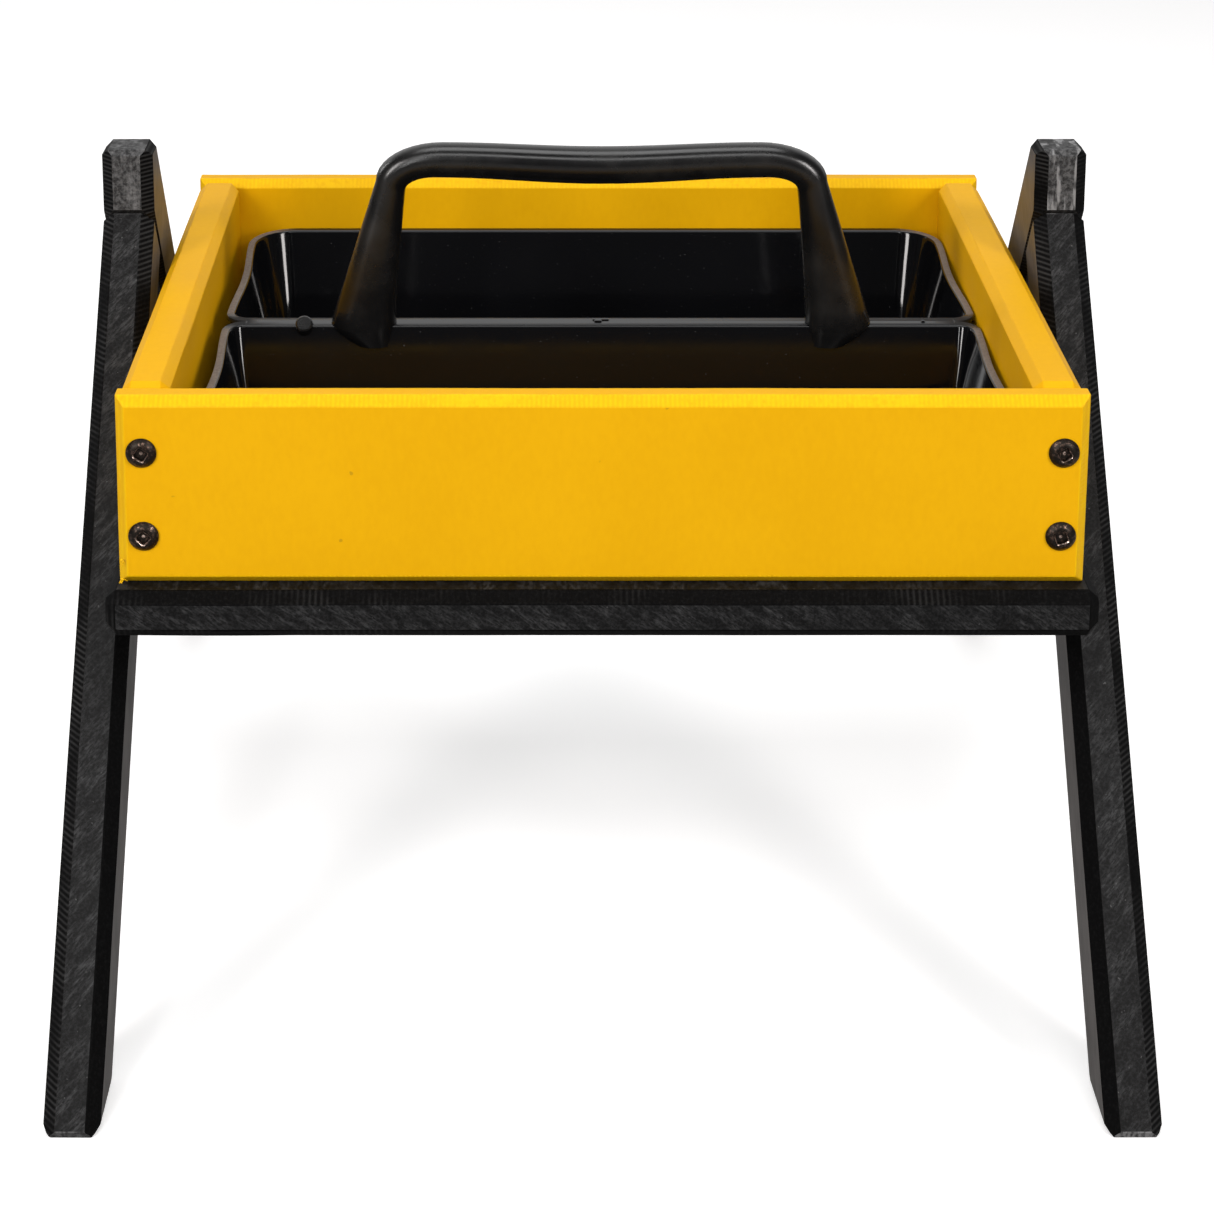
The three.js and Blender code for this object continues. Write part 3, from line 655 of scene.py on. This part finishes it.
def screw_axis(node):
    """The way a CAD screw's head faces, and its whole length, from its own vertices."""
    points = [v.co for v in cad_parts[node].data.vertices]
    centre = sum(points, Vector()) / len(points)
    far = max(points, key=lambda p: (p - centre).length)
    rough = (centre - far).normalized()
    tip = min(points, key=lambda p: p.dot(rough))
    reach = max((p - tip).dot(rough) for p in points)
    ends = [p for p in points if (p - tip).dot(rough) > 0.9 * reach]
    top = sum(ends, Vector()) / len(ends)
    axis = (top - tip).normalized()
    span = [p.dot(axis) for p in points]
    return axis, max(span) - min(span)


# ---- Caddy tub ----------------------------------------------------------------------------
LIP = 4.6 * MM  # width of the rim
LIP_FALL = 3.0 * MM  # height of the lip outside
WALL = 2.5 * MM
FLOOR = 3.0 * MM
DRAFT = 12 * MM  # how far each wall comes in from the rim to the base
FAR_CORNER = 28 * MM
NEAR_CORNER = 13 * MM
LEAST_CORNER = 3 * MM
SIDE_BOW = 2.2 * MM
RIM_EASE = 1.6 * MM  # radius of the rim's inner edge
FLOOR_EASE = 9 * MM  # radius between the walls and the floor
RIDGE_HALF = 6.5 * MM  # half the divider's width at the top
SHELL_OVERLAP = 0.05 * MM  # by which the two shells pass the divider's middle
CORNER_STEPS = 14
SIDE_STEPS = 16
RIM_STEPS = 5
FLOOR_STEPS = 6


def compartment_outline(half_x, depth, inset, near):
    """Plan of one compartment, from its near side by the divider to its far side.

    Each of the other two sides bows in a little between its corners.
    """
    far = depth - inset
    half = half_x - inset
    near_round = max(NEAR_CORNER - inset, LEAST_CORNER)
    far_round = max(FAR_CORNER - inset, LEAST_CORNER)

    def arc(cx, cy, radius, start):
        for i in range(CORNER_STEPS + 1):
            angle = start + math.pi / 2 * i / CORNER_STEPS
            yield Vector((cx + radius * math.cos(angle), cy + radius * math.sin(angle)))

    def side(x, y0, y1):
        for i in range(1, SIDE_STEPS):
            share = i / SIDE_STEPS
            push = SIDE_BOW * math.sin(math.pi * share) ** 2
            yield Vector((x - math.copysign(push, x), y0 + (y1 - y0) * share))

    points = list(arc(half - near_round, near + near_round, near_round, -math.pi / 2))
    points += side(half, near + near_round, far - far_round)
    points += arc(half - far_round, far - far_round, far_round, 0)
    points += arc(-half + far_round, far - far_round, far_round, math.pi / 2)
    points += side(-half, far - far_round, near + near_round)
    points += arc(-half + near_round, near + near_round, near_round, math.pi)
    return points


def smooth_step(value):
    """0 below 0, 1 above 1, smooth between."""
    value = min(max(value, 0), 1)
    return value * value * (3 - 2 * value)


def compartment_profile(rim, base):
    """The shell's section as three runs of (inset, height): the outside of the wall from the
    base up, the outside of the lip, and the inside from the rim down to the floor."""
    lip_foot = rim - LIP_FALL
    floor = base + FLOOR
    wall_foot = base + 2 * MM

    def lean(z):
        return DRAFT * (rim - z) / (rim - base)

    outside = [(WALL + 0.9 * DRAFT, base)]
    outside += [(LIP - WALL + lean(z), z) for z in (wall_foot, lip_foot)]
    lip = [(0.35 * MM, lip_foot), (0.0, lip_foot + 0.35 * MM)]
    lip += [(0.0, rim - 0.3 * MM), (0.3 * MM, rim)]
    inside = [(LIP - RIM_EASE, rim)]
    for i in range(1, RIM_STEPS + 1):
        angle = math.pi / 2 * i / RIM_STEPS
        inset = LIP - RIM_EASE + RIM_EASE * math.sin(angle)
        inside.append((inset, rim - RIM_EASE * (1 - math.cos(angle))))
    for z in (rim - 20 * MM, rim - 40 * MM, floor + FLOOR_EASE):
        inside.append((LIP + lean(z), z))
    start = LIP + lean(floor + FLOOR_EASE)
    for i in range(1, FLOOR_STEPS + 1):
        angle = math.pi / 2 * i / FLOOR_STEPS
        inset = start + FLOOR_EASE * (1 - math.cos(angle))
        inside.append((inset, floor + FLOOR_EASE * (1 - math.sin(angle))))
    inside.append((start + 3 * FLOOR_EASE, floor))
    return outside, lip, inside


def compartment_shell(side, centre, half_x, depth, rim, base):
    """One drafted compartment with a lip, as a closed thin-walled shell on its side of the
    divider. Its top marks where the lip is trimmed and where the divider's top is."""
    bm = bmesh.new()
    lip_layer = bm.verts.layers.float.new("trimmed_lip")
    ridge_layer = bm.verts.layers.float.new("divider_top")
    outside, lip, inside = compartment_profile(rim, base)
    rings = []
    for run in (outside, lip, inside):
        for inset, z in run:
            near = -SHELL_OVERLAP if run is lip else inset + (RIDGE_HALF - LIP)
            rings.append([
                bm.verts.new((centre.x + p.x, centre.y + side * p.y, z))
                for p in compartment_outline(half_x, depth, inset, near)
            ])
    loft(bm, rings)
    first = len(outside) + 2
    for ring in rings[first:first + 4]:  # the rings on top of the rim
        for v in ring:
            away = abs(v.co.y - centre.y)
            side_wall = smooth_step((abs(v.co.x - centre.x) - half_x + 30 * MM) / (22 * MM))
            v[lip_layer] = smooth_step((away - 8 * MM) / (6 * MM)) * side_wall
            v[ridge_layer] = 1 - smooth_step((away - 5.6 * MM) / (4 * MM))
    bmesh.ops.recalc_face_normals(bm, faces=bm.faces)
    return to_object("tub_half", bm)


def block(place, size):
    """A small eased block, as moulding leaves on an edge."""
    bm = bmesh.new()
    bmesh.ops.create_cube(bm, size=1)
    bmesh.ops.scale(bm, vec=size, verts=bm.verts)
    bmesh.ops.bevel(bm, geom=bm.edges, offset=0.2 * min(size), segments=2, affect="EDGES")
    bmesh.ops.translate(bm, vec=place, verts=bm.verts)
    return to_object("block", bm)


def build_tub(plastic):
    low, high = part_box("caddy_tub")
    centre = (low + high) / 2
    half_x, depth = (high.x - low.x) / 2, (high.y - low.y) / 2
    front, rear = [
        compartment_shell(side, centre, half_x, depth, high.z, low.z) for side in (-1, 1)
    ]
    peg_low, peg_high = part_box("divider_peg")
    peg_x = (peg_low.x + peg_high.x) / 2 - centre.x
    marks = (  # place on the divider's top from its middle, and size, in mm
        ((peg_x / MM - 3.4, -4.2), (3, 3, 1.8)),  # two lugs behind the peg
        ((peg_x / MM + 3.4, -4.2), (3, 3, 1.8)),
        ((0, 2), (9, 2, 1.2)),  # the gate mark, in two parts
        ((-1.5, 0), (4, 3, 1.6)),
        ((176, -1), (2, 2, 1.6)),  # a nub near the right end
    )
    blocks = [
        block((centre.x + x * MM, centre.y + y * MM, high.z), [width * MM for width in size])
        for (x, y), size in marks
    ]
    bm = combine(front, [rear, *blocks], "UNION")
    bmesh.ops.remove_doubles(bm, verts=bm.verts, dist=0.01 * MM)
    to_piece("caddy_tub", bm, "caddy", [plastic], sharp_from=32)


# ---- Caddy handle -------------------------------------------------------------------------
HANDLE_STEPS = 44  # points round a section
HANDLE_FULLNESS = 2.3  # 2 is an ellipse, more is squarer
FOOT_HALF = 147.2 * MM  # from mid-span to the outside of the foot at the rim
SHOULDER_HALF = 122 * MM
STEM_HALF = 111.6 * MM  # from mid-span to the inside of the foot at the rim
SHOULDER_INNER_HALF = 106 * MM
SHOULDER_DROP = 21 * MM  # from the top of the bar to the top of the uprights
BAR_DEPTH = 18.6 * MM
OUTER_ROUND = (36 * MM, 21 * MM)
INNER_ROUND_X = 15.5 * MM


def handle_sections(top, rim, skirt):
    """Sections of half the handle from the foot to mid-span, as (outer, inner, half depth).

    Outer and inner are X-Z points of the loop's outside and inside.
    """
    sections = []
    for share in (0.0, 0.25, 0.55, 0.8, 1.0):  # the skirt, below the rim
        z = rim - skirt * (1 - share)
        outer = FOOT_HALF - 13 * MM * (1 - share) ** 1.6
        inner = STEM_HALF + 1.5 * MM * (1 - share)
        sections.append((Vector((outer, z)), Vector((inner, z)), (11.5 + 2.3 * share) * MM))
    flare_top = top - SHOULDER_DROP
    for i in range(1, 9):  # the flared upright
        share = i / 8
        z = rim + (flare_top - rim) * share
        outer = Vector((FOOT_HALF + (SHOULDER_HALF - FOOT_HALF) * share, z))
        inner = Vector((STEM_HALF - 5.6 * MM * share ** 1.4, z - 5 * MM * share))
        sections.append((outer, inner, (13.8 - 4.6 * share) * MM))
    inner_foot = flare_top - 5 * MM
    for i in range(1, 11):  # the shoulder
        angle = math.pi / 2 * i / 10
        across, up = 1 - math.cos(angle), math.sin(angle)
        outer = Vector((SHOULDER_HALF - OUTER_ROUND[0] * across, flare_top + OUTER_ROUND[1] * up))
        inner = Vector((
            SHOULDER_INNER_HALF - INNER_ROUND_X * across,
            inner_foot + (top - BAR_DEPTH - inner_foot) * up,
        ))
        sections.append((outer, inner, (9.2 + 0.2 * i / 10) * MM))
    bar_outer, bar_inner = SHOULDER_HALF - OUTER_ROUND[0], SHOULDER_INNER_HALF - INNER_ROUND_X
    for i in range(1, 11):  # the bar, which sags and thickens towards the middle
        share = i / 10
        swell = 0.5 - 0.5 * math.cos(math.pi * share)
        outer = Vector((bar_outer * (1 - share), top - 2.3 * MM * swell))
        inner = Vector((bar_inner * (1 - share), top - BAR_DEPTH - 3.6 * MM * swell))
        sections.append((outer, inner, (9.4 + 0.6 * swell) * MM))
    return sections


def build_handle(plastic):
    low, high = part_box("caddy_handle")
    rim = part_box("caddy_tub")[1].z
    centre = (low + high) / 2
    half = handle_sections(high.z, rim, rim - low.z)
    left = [(Vector((-o.x, o.y)), Vector((-i.x, i.y)), d) for o, i, d in half]
    right = half[-2::-1]
    bm = bmesh.new()
    rings = []
    for outer, inner, depth in left + right:
        middle, reach = (outer + inner) / 2, (outer - inner) / 2
        ring = []
        for k in range(HANDLE_STEPS):
            c, s = squircle(2 * math.pi * k / HANDLE_STEPS, 1, HANDLE_FULLNESS)
            in_plane = middle + reach * c
            ring.append(bm.verts.new((centre.x + in_plane.x, centre.y + depth * s, in_plane.y)))
        rings.append(ring)
    loft(bm, rings)
    bmesh.ops.recalc_face_normals(bm, faces=bm.faces)
    blank = to_object("handle_blank", bm)
    bm = combine(blank, [divider_slot(centre, rim, rim - low.z)], "DIFFERENCE")
    to_piece("caddy_handle", bm, "caddy", [plastic], sharp_from=40)


SLOT_ROOM = 0.2 * MM
WALL_HEIGHT = 68 * MM  # each side of the divider comes out by DRAFT over this height


def divider_slot(centre, rim, skirt):
    """The room that the divider takes up in the feet, wider towards the bottom."""
    top = RIDGE_HALF + SLOT_ROOM
    bottom = top + 2 * skirt * DRAFT / WALL_HEIGHT
    low, high = rim - 2 * skirt, rim + SLOT_ROOM
    outline = [(-bottom, low), (bottom, low), (top, high), (-top, high)]
    bm = bmesh.new()
    loft(bm, [
        [bm.verts.new((centre.x + x, centre.y + y, z)) for y, z in outline]
        for x in (-0.2, 0.2)
    ])
    bmesh.ops.recalc_face_normals(bm, faces=bm.faces)
    return to_object("slot", bm)


# ---- Stage --------------------------------------------------------------------------------
def build_floor():
    """A pale floor, paler to the camera than to the light it sends back."""
    bm = bmesh.new()
    bmesh.ops.create_grid(bm, x_segments=2, y_segments=2, size=14)
    floor = to_object("floor", bm)
    made, g = material("floor_white")
    sees = g.add("LightPath").outputs["Is Camera Ray"]
    pale = g.add("BsdfDiffuse", Color=g.mix(sees, (0.34, 0.34, 0.34, 1), (0.9, 0.9, 0.9, 1)))
    glow = g.add("Emission", Color=(1, 1, 1, 1), Strength=g.math("MULTIPLY", sees, 0.42))
    g.add("OutputMaterial", Surface=g.add("AddShader", pale, glow))
    floor.data.materials.append(made)


LIGHT_AIM = Vector((0, 0, 0.3))
WARM = (1, 0.96, 0.94)
WHITE = (1, 1, 1)


def area_light(name, place, size, watts, colour=WHITE):
    """A rectangular light that looks at the object."""
    data = bpy.data.lights.new(name, "AREA")
    data.shape = "RECTANGLE"
    data.size, data.size_y = size
    data.energy = watts
    data.color = colour
    light = bpy.data.objects.new(name, data)
    bpy.context.scene.collection.objects.link(light)
    light.location = place
    light.rotation_euler = (LIGHT_AIM - Vector(place)).to_track_quat("-Z", "Y").to_euler()


def build_lights():
    area_light("key_left", (-2.1, -2.2, 1.7), (0.55, 1.6), 56, WARM)
    area_light("key_right", (2.1, -2.2, 1.7), (0.55, 1.6), 58, WARM)
    area_light("strip_left", (-0.95, -2.9, 1.6), (0.16, 1.4), 15)
    area_light("rim_left", (-2.6, 1.5, 1.5), (0.2, 1.4), 12)
    area_light("overhead", (0, 0.2, 2.6), (1.6, 1.2), 23)
    area_light("front_fill", (0, -2.4, 2.9), (2.4, 0.8), 26)


def build_world():
    """Pale to the camera, and a dim room with a bright backdrop to everything else."""
    world = bpy.data.worlds.new("studio")
    bpy.context.scene.world = world
    g = Graph(world)
    direction = g.add("SeparateXYZ", g.add("TexCoord").outputs["Generated"])
    back = g.ramp(direction.outputs["Y"], 0.2, 0.8)
    room = g.mix(back, (0.07, 0.07, 0.072, 1), (0.85, 0.85, 0.85, 1))
    sees = g.add("LightPath").outputs["Is Camera Ray"]
    colour = g.mix(sees, room, (0.93, 0.93, 0.93, 1))
    background = g.add("Background", Color=colour, Strength=1.0)
    g.add("OutputWorld", Surface=background)


CAMERA_PLACE = Vector((-33.3 * MM, -1440 * MM, 845.4 * MM))
CAMERA_PITCH = math.radians(11.97)
CAMERA_LENS = 80.07  # in mm, on Blender's usual 36 mm sensor
CAMERA_SHIFT = (0.0606, -0.5725)


def build_camera():
    """The view camera. Its lens is shifted only while it stands at its own place, so that
    the same camera can be moved to look straight at the object from elsewhere."""
    data = bpy.data.cameras.new("camera")
    data.lens = CAMERA_LENS
    data.clip_end = 50
    camera = bpy.data.objects.new("camera", data)
    bpy.context.scene.collection.objects.link(camera)
    camera.location = CAMERA_PLACE
    camera.rotation_euler = (math.pi / 2 - CAMERA_PITCH, 0, 0)
    for prop, value in zip(("shift_x", "shift_y"), CAMERA_SHIFT):
        driver = data.driver_add(prop).driver
        driver.type = "SCRIPTED"
        for axis in "XYZ":
            variable = driver.variables.new()
            variable.name = axis.lower()
            variable.type = "TRANSFORMS"
            variable.targets[0].id = camera
            variable.targets[0].transform_type = "LOC_" + axis
        x, y, z = CAMERA_PLACE
        away = f"abs(x - {x:.4f}) + abs(y - {y:.4f}) + abs(z - {z:.4f})"
        driver.expression = f"{value} if {away} < 0.001 else 0"
    bpy.context.scene.camera = camera


# ---- Scene --------------------------------------------------------------------------------
build_tray()
build_black_boards()
build_screws()
gloss, satin = gloss_plastic(), satin_plastic()
build_tub(gloss)
build_handle(satin)
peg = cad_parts["divider_peg"]
peg.data.materials.clear()
peg.data.materials.append(satin)

build_floor()
build_lights()
build_world()
build_camera()
bpy.context.scene.view_settings.view_transform = "Standard"
